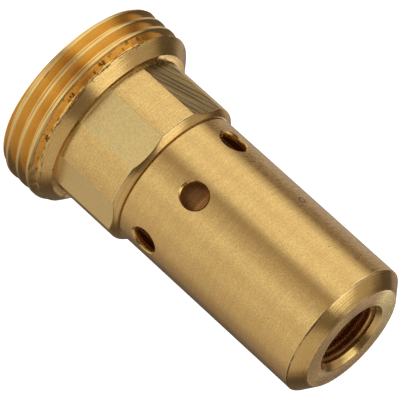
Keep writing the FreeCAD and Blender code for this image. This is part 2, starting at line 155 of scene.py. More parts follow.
class FinishColours(bpy.types.PropertyGroup):
    """Colours of the metals, rubber and plastics."""

    brass: bpy.props.FloatVectorProperty(
        name="Brass", description="Turned brass", subtype="COLOR", size=3, default=(0.90, 0.61, 0.228)
    )
    brass_deep: bpy.props.FloatVectorProperty(
        name="Deep Brass", description="Brass in grooves", subtype="COLOR", size=3, default=(0.68, 0.34, 0.12)
    )
    # Pale brass also paints the highlight on the nose face.
    brass_pale: bpy.props.FloatVectorProperty(
        name="Pale Brass", description="Brass where worn or milled", subtype="COLOR", size=3, default=(1.0, 0.76, 0.355)
    )
    brass_oxidised: bpy.props.FloatVectorProperty(
        name="Oxidised Brass", description="Brass inside the body", subtype="COLOR", size=3, default=(0.47, 0.19, 0.045)
    )
    steel: bpy.props.FloatVectorProperty(
        name="Steel", description="Springs and rings", subtype="COLOR", size=3, default=(0.36, 0.36, 0.37)
    )
    stainless: bpy.props.FloatVectorProperty(
        name="Stainless", description="Washers, strainer and stem", subtype="COLOR", size=3, default=(0.60, 0.59, 0.57)
    )
    rubber: bpy.props.FloatVectorProperty(
        name="Rubber", description="Seals", subtype="COLOR", size=3, default=(0.018, 0.018, 0.02)
    )
    white_plastic: bpy.props.FloatVectorProperty(
        name="White Plastic", description="Backup and wear rings", subtype="COLOR", size=3, default=(0.80, 0.78, 0.71)
    )
    seat_plastic: bpy.props.FloatVectorProperty(
        name="Seat Plastic", description="Seat and stop ring", subtype="COLOR", size=3, default=(0.66, 0.58, 0.38)
    )


class StudioSettings(bpy.types.PropertyGroup):
    """Camera and light."""

    elevation: bpy.props.FloatProperty(
        name="Elevation", description="Camera above the horizon", subtype="ANGLE", default=math.radians(21.16)
    )
    roll: bpy.props.FloatProperty(
        name="Roll", description="Camera turned about its own axis", subtype="ANGLE", default=math.radians(132.283)
    )
    distance: bpy.props.FloatProperty(
        name="Distance", description="Camera to the aim point", subtype="DISTANCE", default=0.55275
    )
    lens: bpy.props.FloatProperty(name="Lens", description="Focal length in millimetres", default=406.14)
    aim_height: bpy.props.FloatProperty(
        name="Aim Height", description="Height on the axis of the aim point", subtype="DISTANCE", default=0.027448
    )
    aim_right: bpy.props.FloatProperty(
        name="Aim Right", description="Aim point's place right of the middle", subtype="DISTANCE", default=0.003657
    )
    aim_down: bpy.props.FloatProperty(
        name="Aim Down", description="Aim point's place below the middle", subtype="DISTANCE", default=0.003442
    )
    floor_size: bpy.props.FloatProperty(
        name="Floor Size", description="Side of the floor", subtype="DISTANCE", default=8.0
    )


# ---- Outline helpers, all in millimetres ----


def smooth_step(low, high, value):
    """0 below low, 1 above high, and a smooth rise between."""
    share = min(max((value - low) / (high - low), 0.0), 1.0)
    return share * share * (3 - 2 * share)


def soft_least(first, second, blend):
    """The smaller of two values, with the corner between them rounded."""
    share = max(blend - abs(first - second), 0.0) / blend
    return min(first, second) - share * share * blend / 4


def groove_share(offset, root_flat, half_base):
    """1 at the bottom of a V groove, 0 on its crest, with softly rounded corners."""
    share = (root_flat + half_base - abs(offset)) / half_base
    return max(0.0, -soft_least(-soft_least(share, 1.0, 0.08), 0.0, 0.06))


def groove_rows(pitch, root_flat, half_base):
    """Heights within one pitch at which a groove's mesh gets a row, closer together at its corners."""
    crest = root_flat + half_base
    half = [0.0, root_flat, root_flat + 0.12 * half_base, root_flat + 0.3 * half_base, root_flat + 0.5 * half_base]
    half += [root_flat + 0.7 * half_base, crest - 0.1 * half_base, crest, crest + 0.25 * (pitch / 2 - crest), pitch / 2]
    return sorted([-height for height in half[1:]] + half[:-1])


def rounded(points, radius, steps=3):
    """An outline of (radius, z, zone) points with a small arc at each inner corner. A point's zone starts there."""
    result = [points[0]]
    for before, corner, after in zip(points, points[1:], points[2:]):
        middle = Vector(corner[:2])
        towards_before = Vector(before[:2]) - middle
        towards_after = Vector(after[:2]) - middle
        reach = min(radius, 0.4 * towards_before.length, 0.4 * towards_after.length)
        start = middle + towards_before.normalized() * reach
        end = middle + towards_after.normalized() * reach
        for step in range(steps + 1):
            share = step / steps
            place = start.lerp(middle, share).lerp(middle.lerp(end, share), share)
            result.append((place.x, place.y, corner[2]))
    result.append(points[-1])
    return result


# ---- The body's section at one angle ----


def collar_section(angle, threads, sizes):
    """Points up the collar, from its back face to its front face, with the thread's groove cut in."""
    pitch = threads.collar_pitch
    root_flat = 0.06 * pitch
    half_base = threads.collar_depth * math.tan(math.radians(27.5))
    lead = pitch * angle / TURN
    points = []
    for turn in range(-2, int(sizes.collar_length / pitch) + 1):
        for row in groove_rows(pitch, root_flat, half_base):
            root = threads.collar_first_root + turn * pitch
            z = min(max(root + row + lead, 0.0), sizes.collar_length)
            nearest = round((z - threads.collar_first_root - lead) / pitch)
            root = threads.collar_first_root + nearest * pitch + lead
            fade = 1 - smooth_step(threads.collar_end - 0.5, threads.collar_end, root)
            share = groove_share(z - root, root_flat, half_base) * fade
            back = COLLAR_RADIUS - sizes.back_chamfer + z
            slope = (COLLAR_RADIUS - sizes.collar_front_radius) / (sizes.collar_length - sizes.thread_length)
            front = COLLAR_RADIUS - slope * (z - sizes.thread_length)
            turned = soft_least(soft_least(COLLAR_RADIUS, back, 0.08), front, 0.08)
            radius = min(turned, COLLAR_RADIUS - threads.collar_depth * share)
            place = Vector((math.cos(angle), math.sin(angle), 0)) * 7 + Vector((0, 0, 2.3 * z))
            ragged = smooth_step(4.9, 5.6, z) * smooth_step(7.2, 6.4, z) if share > 0.02 else 0.0
            radius -= threads.burr * ragged * max(0.0, noise.noise(place * 1.6))
            radius -= 0.012 * noise.noise(place * 0.9) if 0 < z < sizes.collar_length else 0.0
            points.append((radius, z, "thread" if z < sizes.thread_length + 0.35 else "faces"))
    return points


def flat_radius(angle, sizes):
    """Radius of the neck at an angle: turned, or on one of the six milled flats."""
    step = math.radians(60)
    from_flat = (angle + math.pi / 2 + step / 2) % step - step / 2
    return soft_least(sizes.neck_radius, sizes.flat_reach / math.cos(from_flat), 0.012)


def mouth_wear(angle):
    """How far the port's rim is knocked outwards: a little everywhere, and more at two nicks."""
    wear = 0.05 * noise.noise(Vector((math.cos(angle), math.sin(angle), 0.3)) * 5)
    for centre, width, depth in RIM_NICKS:
        offset = (angle - math.radians(centre) + math.pi) % TURN - math.pi
        wear += depth * max(0.0, 1 - abs(offset) / width)
    return wear


def outer_section(angle, sizes):
    """Points from the collar's front face over the neck, barrel and nose to the port's mouth."""
    neck = sizes.neck_radius
    flat = flat_radius(angle, sizes)
    step_z = sizes.collar_length + sizes.flat_step
    cone_z = sizes.neck_end - sizes.neck_chamfer
    flat_end_z = cone_z + neck - flat
    barrel = sizes.barrel_radius
    place = Vector((math.cos(angle), math.sin(angle), 0)) * 6
    bevel_z = BODY_LENGTH - sizes.bevel_length + 0.03 * noise.noise(place)
    points = [
        (sizes.collar_front_radius, sizes.collar_length, "faces"),
        (neck, sizes.collar_length, "flats"),
        (neck, step_z, "flats"),
        (flat, step_z, "flats"),
        (flat, flat_end_z, "faces"),
        (neck - sizes.neck_chamfer, sizes.neck_end, "barrel"),
        (barrel - 0.12, sizes.neck_end, "bores"),
        (barrel - 0.12, sizes.neck_end + 0.1, "barrel"),
        (barrel, sizes.neck_end + 0.24, "barrel"),
        (barrel, bevel_z, "faces"),
        (sizes.nose_radius + 0.03 * noise.noise(place * 1.3), BODY_LENGTH, "faces"),
        (sizes.mouth_radius + mouth_wear(angle), BODY_LENGTH, "faces"),
    ]
    return rounded(points, sizes.edge_radius)


def port_section(angle, threads, sizes):
    """Points down the port, from its mouth through the lead-in cone and the thread to the drilled hole."""
    pitch = threads.port_pitch
    root_flat = 0.06 * pitch
    half_base = threads.port_depth * math.tan(math.radians(27.5))
    lead = pitch * angle / TURN
    mouth_z = BODY_LENGTH - sizes.mouth_depth
    first_root = mouth_z - threads.port_thread_length
    bottom = first_root - 1.2
    minor = threads.port_minor_radius
    points = []
    for turn in range(int((BODY_LENGTH - first_root) / pitch) + 1, -3, -1):
        for row in reversed(groove_rows(pitch, root_flat, half_base)):
            z = min(max(first_root + turn * pitch + row + lead, bottom), BODY_LENGTH)
            nearest = round((z - first_root - lead) / pitch)
            root = first_root + nearest * pitch + lead
            share = groove_share(z - root, root_flat, half_base) * smooth_step(first_root - 0.2, first_root + 0.3, root)
            cone = minor + (sizes.mouth_radius - minor) * (z - mouth_z) / sizes.mouth_depth
            points.append((max(minor, cone, minor + threads.port_depth * share), z, "faces" if z > mouth_z else "port"))
    return points


def bore_section(threads):
    """Points down the inside, from the port's drilled hole to the collar's back face."""
    chamber_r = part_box("piston_seal")[1].x / MM + 0.025
    spring_r = chamber_r + 0.5
    ring_r = RING_RADIUS + 0.02
    chamber_start = 27.9
    stop_inner = 5.58
    stop_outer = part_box("stop_ring")[1].x / MM + 0.02
    floor = STOP_HIGH - 0.4
    guide_r = GUIDE_RADIUS + 0.05
    shoulder = GUIDE_TOP_OF_FLANGE
    return [
        (threads.port_minor_radius, floor, "bores"),
        (stop_inner, floor, "bores"),
        (stop_inner, STOP_HIGH, "bores"),
        (stop_outer, STOP_HIGH, "bores"),
        (stop_outer, floor, "bores"),
        (chamber_r, floor, "bores"),
        (chamber_r, chamber_start, "bores"),
        (spring_r, chamber_start - 0.7, "bores"),
        (spring_r, shoulder, "bores"),
        (guide_r, shoulder, "bores"),
        (guide_r, RING_HIGH + 0.02, "bores"),
        (ring_r, RING_HIGH + 0.02, "bores"),
        (ring_r, RING_LOW - 0.02, "bores"),
        (guide_r, RING_LOW - 0.02, "bores"),
        (guide_r, 0.6, "faces"),
        (guide_r + 0.6, 0.0, "faces"),
    ]


def column_angles(count):
    """Angles of the body's columns: even ones, and close pairs at both edges of each milled flat."""
    sizes = bpy.context.scene.regulator_body
    half_flat = math.acos(sizes.flat_reach / sizes.neck_radius)
    angles = {round(TURN * index / count, 6) for index in range(count)}
    for flat in range(6):
        centre = -math.pi / 2 + flat * math.radians(60)
        for edge in (-half_flat, half_flat):
            near = [angle for angle in angles if abs((angle - centre - edge + math.pi) % TURN - math.pi) < 0.009]
            angles -= {angle for angle in near if angle != 0.0}
            for nudge in (-0.008, -0.003, 0.0, 0.003, 0.008):
                angles.add(round((centre + edge + nudge) % TURN, 6))
    return sorted(angles) + [TURN]


def body_mesh():
    """The body as one closed mesh, before its vents are drilled."""
    scene = bpy.context.scene
    threads, sizes = scene.regulator_threads, scene.regulator_body
    mesh = bmesh.new()
    previous = None
    for angle in column_angles(sizes.columns):
        section = collar_section(angle, threads, sizes)
        section += outer_section(angle, sizes)
        section += port_section(angle, threads, sizes)
        section += bore_section(threads)
        cos, sin = math.cos(angle), math.sin(angle)
        column = [mesh.verts.new((r * cos * MM, r * sin * MM, z * MM)) for r, z, _ in section]
        if previous:
            for index in range(len(column)):
                above = (index + 1) % len(column)
                face = mesh.faces.new((previous[index], column[index], column[above], previous[above]))
                face.material_index = ZONES.index(section[index][2])
        previous = column
    bmesh.ops.remove_doubles(mesh, verts=mesh.verts, dist=0.0004 * MM)
    bmesh.ops.dissolve_degenerate(mesh, edges=mesh.edges, dist=0.0004 * MM)
    bmesh.ops.recalc_face_normals(mesh, faces=mesh.faces)
    return mesh


def turned_tool(outline, count=48):
    """A closed tool turned about +Z from (radius, z) points in millimetres, which start and end on the axis."""
    mesh = bmesh.new()
    points = [mesh.verts.new((r * MM, 0, z * MM)) for r, z in outline]
    edges = [mesh.edges.new(pair) for pair in zip(points, points[1:])]
    bmesh.ops.spin(
        mesh, geom=points + edges, cent=(0, 0, 0), axis=(0, 0, 1), angle=TURN, steps=count, use_merge=True
    )
    bmesh.ops.remove_doubles(mesh, verts=mesh.verts, dist=0.0004 * MM)
    bmesh.ops.recalc_face_normals(mesh, faces=mesh.faces)
    return mesh


def vent_tools(sizes):
    """One mesh with the six drills, each with its deburring cone."""
    barrel, radius, width = sizes.barrel_radius, sizes.vent_radius, sizes.vent_deburr
    outline = [
        (0, barrel - 1.35),
        (radius, barrel - 1.35),
        (radius, barrel - 0.32),
        (radius + 0.25 * width, barrel - 0.2),
        (radius + width, barrel + 0.02),
        (radius + 6 * width, barrel + 5 * width),
        (0, barrel + 5 * width),
    ]
    tools = bmesh.new()
    for index in range(6):
        height = sizes.vent_high_row if index % 2 == 0 else sizes.vent_low_row
        tool = turned_tool(outline)
        bmesh.ops.rotate(tool, verts=tool.verts, cent=(0, 0, 0), matrix=rotation("X", math.pi / 2))
        bmesh.ops.translate(tool, verts=tool.verts, vec=(0, 0, height * MM))
        bmesh.ops.rotate(tool, verts=tool.verts, cent=(0, 0, 0), matrix=rotation("Z", index * math.radians(60)))
        scratch = bpy.data.meshes.new("drill")
        tool.to_mesh(scratch)
        tools.from_mesh(scratch)
        tool.free()
        bpy.data.meshes.remove(scratch)
    return tools


def rotation(axis, angle):
    """A rotation matrix about a named axis."""
    return Matrix.Rotation(angle, 3, axis)


def new_object(name, mesh):
    """Puts a bmesh in the scene as an object and frees it."""
    data = bpy.data.meshes.new(name)
    mesh.to_mesh(data)
    mesh.free()
    made = bpy.data.objects.new(name, data)
    bpy.context.scene.collection.objects.link(made)
    return made


def coil_mesh(sizes):
    """A helix of round wire whose closed ends are ground flat."""
    wire = sizes.wire_radius
    closed_rise = sizes.closed_turns * 2 * wire * 1.04
    active_rise = COIL_HIGH - COIL_LOW - 2 * closed_rise
    turns = sizes.active_turns + 2 * sizes.closed_turns
    steps, round_steps = int(turns * 48), 20
    mesh = bmesh.new()
    last = []
    for step in range(steps + 1):
        turn = turns * step / steps
        from_end = min(turn, turns - turn)
        if from_end < sizes.closed_turns:
            rise = closed_rise * from_end / sizes.closed_turns
            if turn > turns / 2:
                rise = COIL_HIGH - COIL_LOW - rise
        else:
            rise = closed_rise + active_rise * (turn - sizes.closed_turns) / sizes.active_turns
        ring = []
        for index in range(round_steps):
            lean = TURN * index / round_steps
            radius = COIL_RADIUS - wire + wire * math.cos(lean)
            height = COIL_LOW + rise + wire * math.sin(lean)
            height = min(max(height, COIL_LOW), COIL_HIGH)
            spot = Vector((radius * math.cos(TURN * turn), radius * math.sin(TURN * turn), height))
            ring.append(mesh.verts.new(spot * MM))
        for index in range(len(last)):
            following = (index + 1) % round_steps
            mesh.faces.new((last[index], last[following], ring[following], ring[index]))
        if step in (0, steps):
            mesh.faces.new(ring)
        last = ring
    bmesh.ops.recalc_face_normals(mesh, faces=mesh.faces)
    return mesh


def cut_away(target, tools):
    """Cuts the tools out of the target for good."""
    cut = target.modifiers.new("cut", "BOOLEAN")
    cut.operation = "DIFFERENCE"
    cut.solver = "EXACT"
    cut.object = tools
    bpy.context.view_layer.update()
    shape = bpy.data.meshes.new_from_object(target.evaluated_get(bpy.context.evaluated_depsgraph_get()))
    target.modifiers.remove(cut)
    old = target.data
    target.data = shape
    bpy.data.meshes.remove(old)
    bpy.data.objects.remove(tools)
    if len(shape.polygons) < 1000:
        raise RuntimeError("the vents could not be drilled")


class REGULATOR_OT_body(bpy.types.Operator):
    """Turn, thread, mill and drill the one-piece body"""

    bl_idname = "regulator.body"
    bl_label = "Body"

    def execute(self, context):
        sizes = context.scene.regulator_body
        body = new_object("turned_body", body_mesh())
        for zone in ZONES:
            body.data.materials.append(brass(zone))
        drills = new_object("vent_drills", vent_tools(sizes))
        drills.data.materials.append(brass("faces"))
        cut_away(body, drills)
        for face in body.data.polygons:
            face.use_smooth = True
        body.data.set_sharp_from_angle(angle=math.radians(38))
        weighted = body.modifiers.new("weighted normals", "WEIGHTED_NORMAL")
        weighted.keep_sharp = True
        weighted.weight = 80
        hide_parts("body")
        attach(body, "housing")
        return {"FINISHED"}


# ---- Shader node helpers ----


def add(tree, kind, inputs=None, **settings):
    """A shader node with its settings made and its sockets set or linked."""
    made = tree.nodes.new("ShaderNode" + kind)
    for name, value in settings.items():
        setattr(made, name, value)
    for name, value in (inputs or {}).items():
        if isinstance(value, bpy.types.NodeSocket):
            tree.links.new(value, made.inputs[name])
        else:
            made.inputs[name].default_value = value
    return made


def calc(tree, operation, *values):
    """A Math node's result."""
    return add(tree, "Math", dict(enumerate(values)), operation=operation).outputs[0]


def plus(tree, first, second):
    """The sum of two values."""
    return calc(tree, "ADD", first, second)


def times(tree, first, second):
    """The product of two values."""
    return calc(tree, "MULTIPLY", first, second)


def gap(tree, value, middle):
    """How far a value is from a middle."""
    return calc(tree, "ABSOLUTE", calc(tree, "SUBTRACT", value, middle))


def cloud(tree, spot, scale, detail, roughness=0.5):
    """Noise in space, about 0.5."""
    inputs = {"Vector": spot, "Scale": scale, "Detail": detail, "Roughness": roughness}
    return add(tree, "TexNoise", inputs).outputs[0]


def stripes(tree, along, detail, roughness=0.5):
    """Noise along a line, about 0.5."""
    inputs = {"W": along, "Scale": 1.0, "Detail": detail, "Roughness": roughness}
    return add(tree, "TexNoise", inputs, noise_dimensions="1D").outputs[0]


def give(tree, target, values):
    """Links values to a node's inputs by name."""
    for name, value in values.items():
        tree.links.new(value, target.inputs[name])


def bumped(tree, height, strength):
    """A normal that follows a height."""
    return add(tree, "Bump", {"Height": height, "Strength": strength, "Distance": 0.02 * MM}).outputs[0]


def remap(tree, value, low, high, to_low, to_high):
    """A value taken smoothly from one range to another, held at both ends."""
    inputs = {"Value": value, "From Min": low, "From Max": high, "To Min": to_low, "To Max": to_high}
    return add(tree, "MapRange", inputs, interpolation_type="SMOOTHSTEP").outputs[0]


def blend_colours(tree, share, first, second):
    """Two colours mixed by a share."""
    mixer = tree.nodes.new("ShaderNodeMix")
    mixer.data_type = "RGBA"
    for socket, value in ((mixer.inputs[0], share), (mixer.inputs[6], first), (mixer.inputs[7], second)):
        if isinstance(value, bpy.types.NodeSocket):
            tree.links.new(value, socket)
        elif socket.type == "RGBA":
            socket.default_value = (*value[:3], 1)
        else:
            socket.default_value = value
    return mixer.outputs[2]


def group(name, inputs, outputs):
    """A new shader node group with float sockets, and its inner input and output nodes."""
    tree = bpy.data.node_groups.new(name, "ShaderNodeTree")
    for socket, value in inputs.items():
        made = tree.interface.new_socket(socket, in_out="INPUT", socket_type="NodeSocketFloat")
        made.default_value = value
    for socket in outputs:
        tree.interface.new_socket(socket, in_out="OUTPUT", socket_type="NodeSocketFloat")
    return tree, tree.nodes.new("NodeGroupInput"), tree.nodes.new("NodeGroupOutput")


def place(tree, name, inputs=None):
    """A node group placed in a material with its own values."""
    made = tree.nodes.new("ShaderNodeGroup")
    made.node_tree = bpy.data.node_groups[name]
    for socket, value in (inputs or {}).items():
        made.inputs[socket].default_value = value
    return made


def polar(tree):
    """The shaded point's x, y, z and radius in millimetres, its angle from -Y, and its place as a vector."""
    coords = add(tree, "TexCoord").outputs["Object"]
    parts = add(tree, "SeparateXYZ", {0: coords}).outputs
    x = times(tree, parts[0], 1 / MM)
    y = times(tree, parts[1], 1 / MM)
    z = times(tree, parts[2], 1 / MM)
    radius = calc(tree, "SQRT", plus(tree, times(tree, x, x), times(tree, y, y)))
    angle = calc(tree, "ARCTAN2", x, times(tree, y, -1.0))
    spot = add(tree, "CombineXYZ", {0: x, 1: y, 2: z}).outputs[0]
    return x, y, z, radius, angle, spot


def build_lathe_marks():
    """Fine rings that a turning tool leaves over a fine grain, and the chatter that it left along one side."""
    inputs = {"Rings per mm": 4.0, "Feed": 0.24, "Feed Depth": 1.0, "Grain": 0.3, "Drift": 0.1}
    tree, given, result = group("lathe_marks", inputs, ["Height", "Tone", "Grain", "Lines", "Chatter"])
    x, y, z, radius, angle, spot = polar(tree)
    along = plus(tree, z, times(tree, radius, 1.7))
    slow = cloud(tree, spot, 0.3, 2.0)
    drifted = plus(tree, along, times(tree, slow, given.outputs["Drift"]))
    scaled = times(tree, drifted, given.outputs["Rings per mm"])
    fine = stripes(tree, scaled, 2.0, 0.7)
    coarse = stripes(tree, times(tree, scaled, 0.21), 1.0)
    turns = plus(tree, calc(tree, "DIVIDE", along, given.outputs["Feed"]), calc(tree, "DIVIDE", angle, TURN))
    feed = calc(tree, "PINGPONG", turns, 0.5)
    patchy = remap(tree, times(tree, plus(tree, slow, coarse), 0.5), 0.4, 0.6, 0.3, 1.0)
    feed = times(tree, times(tree, feed, patchy), given.outputs["Feed Depth"])
    speckle = cloud(tree, spot, 5.0, 3.0, 0.7)
    height = plus(tree, fine, times(tree, coarse, 0.7))
    height = plus(tree, height, times(tree, speckle, given.outputs["Grain"]))
    lines = plus(tree, times(tree, fine, 0.55), times(tree, feed, 0.9))
    side = gap(tree, angle, math.radians(CHATTER_ANGLE))
    side = remap(tree, side, math.radians(8), math.radians(17), 1.0, 0.0)
    slanting = add(tree, "CombineXYZ", {
        0: times(tree, plus(tree, z, times(tree, angle, 3.5)), 4.4),
        1: times(tree, angle, 9.0),
        2: 0.0,
    }).outputs[0]
    ridges = remap(tree, cloud(tree, slanting, 1.0, 2.0, 0.6), 0.44, 0.58, 0.0, 1.0)
    give(tree, result, {
        "Height": plus(tree, height, feed),
        "Tone": times(tree, plus(tree, coarse, slow), 0.5),
        "Grain": speckle,
        "Lines": lines,
        "Chatter": times(tree, ridges, side),
    })


def build_mill_marks():
    """Slanting arcs that a cutter leaves on the neck's flats, over a fine grain. One flat is cut coarser."""
    inputs = {"Rings per mm": 3.0, "Slant": 0.8, "Grain": 0.5}
    outputs = ["Height", "Tone", "Grain", "Lines", "Flat", "Cuts", "Coarse Flat"]
    tree, given, result = group("mill_marks", inputs, outputs)
    x, y, z, radius, angle, spot = polar(tree)
    sixth = math.radians(60)
    flat = times(tree, calc(tree, "ROUND", calc(tree, "DIVIDE", angle, sixth)), sixth)
    sideways = times(tree, x, calc(tree, "COSINE", flat))
    across = plus(tree, sideways, times(tree, y, calc(tree, "SINE", flat)))
    on_flat = remap(tree, gap(tree, angle, flat), math.radians(15.2), math.radians(15.5), 1.0, 0.0)
    bow = times(tree, times(tree, across, across), 0.05)
    leaning = plus(tree, times(tree, across, given.outputs["Slant"]), bow)
    slanted = plus(tree, z, times(tree, leaning, on_flat))
    shifted = plus(tree, slanted, times(tree, flat, 3.7))
    marks = times(tree, shifted, given.outputs["Rings per mm"])
    fine = stripes(tree, marks, 3.0, 0.65)
    patch = cloud(tree, spot, 1.2, 3.0)
    speckle = cloud(tree, spot, 5.0, 3.0, 0.7)
    height = plus(tree, fine, times(tree, speckle, given.outputs["Grain"]))
    coarse = gap(tree, angle, -sixth)
    coarse = remap(tree, coarse, math.radians(15.2), math.radians(15.6), 1.0, 0.0)
    steep = times(tree, plus(tree, times(tree, across, 1.77), z), 1.5)
    streaks = add(tree, "CombineXYZ", {0: steep, 1: times(tree, z, 0.12), 2: 0.0}).outputs[0]
    spread = remap(tree, cloud(tree, streaks, 1.0, 3.0, 0.6), 0.42, 0.60, 0.0, 1.0)
    give(tree, result, {
        "Height": height,
        "Tone": patch,
        "Grain": speckle,
        "Lines": fine,
        "Flat": on_flat,
        "Cuts": times(tree, coarse, spread),
        "Coarse Flat": coarse,
    })


def build_handling():
    """Worn edges, a painted highlight and painted shade on the nose face, stains, nicks, and soil where the collar's
    thread runs out.
    """
    inputs = {"Edge Width": 0.2, "Stain Scale": 0.35, "Nicks per mm": 0.8, "Soil": 1.0}
    tree, given, result = group("handling", inputs, ["Edge", "Stain", "Nick", "Soil", "Painted Highlight", "Painted Shade"])
    x, y, z, radius, angle, spot = polar(tree)
    sizes = bpy.context.scene.regulator_body
    edges = [sizes.neck_end - sizes.neck_chamfer, BODY_LENGTH - sizes.bevel_length, BODY_LENGTH]
    edge = 0.0
    for height in edges:
        offset = gap(tree, z, height)
        band = remap(tree, calc(tree, "DIVIDE", offset, given.outputs["Edge Width"]), 0.4, 1.0, 1.0, 0.0)
        edge = calc(tree, "MAXIMUM", edge, band)
    rims = remap(tree, gap(tree, radius, sizes.nose_radius), 0.08, 0.16, 1.0, 0.0)
    flat_face = remap(tree, z, BODY_LENGTH - 0.12, BODY_LENGTH - 0.02, 1.0, rims)
    rubbed = cloud(tree, spot, 1.1, 3.0)
    edge = times(tree, times(tree, edge, flat_face), remap(tree, rubbed, 0.35, 0.6, 0.2, 1.0))
    cells = add(tree, "TexVoronoi", {"Vector": spot, "Scale": given.outputs["Nicks per mm"], "Randomness": 1.0})
    nick = remap(tree, cells.outputs["Distance"], 0.03, 0.10, 1.0, 0.0)
    rare = remap(tree, add(tree, "SeparateColor", {0: cells.outputs["Color"]}).outputs[0], 0.80, 0.82, 0.0, 1.0)
    stain = remap(tree, cloud(tree, spot, given.outputs["Stain Scale"], 5.0, 0.62), 0.35, 0.7, 0.0, 1.0)
    bearing = math.radians(POCK_ANGLE)
    pock = (sizes.barrel_radius * math.sin(bearing), -sizes.barrel_radius * math.cos(bearing), POCK_HEIGHT)
    away = add(tree, "VectorMath", {0: spot, 1: pock}, operation="DISTANCE").outputs["Value"]
    rim = remap(tree, gap(tree, away, POCK_RADIUS), 0.10, 0.26, 1.0, 0.0)
    rim = times(tree, rim, remap(tree, rubbed, 0.3, 0.5, 0.6, 1.0))
    nick = calc(tree, "MAXIMUM", times(tree, nick, rare), rim)
    # Painted highlight on the nose face, paler round one angle.
    turned = remap(tree, gap(tree, angle, math.radians(PAINTED_HIGHLIGHT_ANGLE)), math.radians(20), math.radians(60), 1.0, 0.0)
    nose = remap(tree, z, BODY_LENGTH - 0.05, BODY_LENGTH - 0.01, 0.0, 1.0)
    # Painted shade on the nose face, darker round two angles.
    painted_shade = 0.0
    for middle, share in PAINTED_SHADE_ANGLES:
        aside = gap(tree, angle, math.radians(middle))
        near = remap(tree, aside, math.radians(16), math.radians(42), share, 0.0)
        painted_shade = calc(tree, "MAXIMUM", painted_shade, near)
    near = remap(tree, gap(tree, z, sizes.thread_length + 0.1), 0.1, 0.6, 1.0, 0.0)
    torn = remap(tree, cloud(tree, spot, 1.1, 4.0, 0.65), 0.57, 0.62, 0.0, 0.95)
    soil = times(tree, times(tree, near, torn), given.outputs["Soil"])
    soil = times(tree, soil, remap(tree, radius, 10.5, 11.0, 0.0, 1.0))
    corner = remap(tree, gap(tree, z, BODY_LENGTH - sizes.bevel_length + 0.04), 0.03, 0.11, 0.9, 0.0)
    side = gap(tree, angle, math.radians(CORNER_LINE_ANGLE))
    corner = times(tree, corner, remap(tree, side, math.radians(38), math.radians(60), 1.0, 0.0))
    corner = times(tree, corner, remap(tree, rubbed, 0.35, 0.55, 0.3, 1.0))
    give(tree, result, {
        "Edge": edge,
        "Stain": stain,
        "Nick": nick,
        "Soil": calc(tree, "MAXIMUM", soil, corner),
        "Painted Highlight": times(tree, turned, nose),
        "Painted Shade": times(tree, painted_shade, nose),
    })


def soft_patch(tree, azimuth, elevation, patch):
    """A soft patch of light on the studio's dome; angles in degrees, azimuth counted from -Y towards +X."""
    turned = calc(tree, "WRAP", calc(tree, "SUBTRACT", azimuth, patch[0]), 180.0, -180.0)
    raised = calc(tree, "SUBTRACT", elevation, patch[1])
    light = patch[5]
    for offset, half in ((turned, patch[2]), (raised, patch[3])):
        reach = calc(tree, "ABSOLUTE", offset)
        light = times(tree, remap(tree, reach, half, half + patch[4], 1.0, 0.0), light)
    return light


def new_material(name):
    """An empty node material and its tree with an output and a Principled shader."""
    made = bpy.data.materials.new(name)
    made.use_nodes = True
    tree = made.node_tree
    tree.nodes.clear()
    shader = tree.nodes.new("ShaderNodeBsdfPrincipled")
    output = tree.nodes.new("ShaderNodeOutputMaterial")
    tree.links.new(shader.outputs[0], output.inputs[0])
    return made, tree, shader


# Each zone's marks, their density per mm, bump strength, roughness, anisotropy, colour, dark lines, grain and metal.
BRASS_FINISHES = {
    "barrel": ("lathe_marks", 5.0, 0.8, 0.20, 0.5, "brass", 0.38, 0.55, 1.0),
    "thread": ("lathe_marks", 3.0, 0.3, 0.17, 0.3, "brass", 0.12, 0.10, 1.0),
    "flats": ("mill_marks", 6.0, 0.5, 0.25, 0.0, "brass", 0.40, 0.50, 1.0),
    "faces": ("lathe_marks", 4.0, 0.5, 0.20, 0.2, "brass", 0.30, 0.30, 1.0),
    "bores": ("lathe_marks", 3.0, 0.7, 0.36, 0.3, "brass_oxidised", 0.5, 0.2, 0.6),
    # The port's deeper brass is painted shade inside the port.
    "port": ("lathe_marks", 3.5, 0.3, 0.22, 0.3, "brass_deep", 0.1, 0.1, 0.75),
    # The inner pieces also carry a painted glow.
    "inner": ("lathe_marks", 1.6, 1.0, 0.40, 0.3, "brass_oxidised", 0.9, 0.2, 0.7),
}


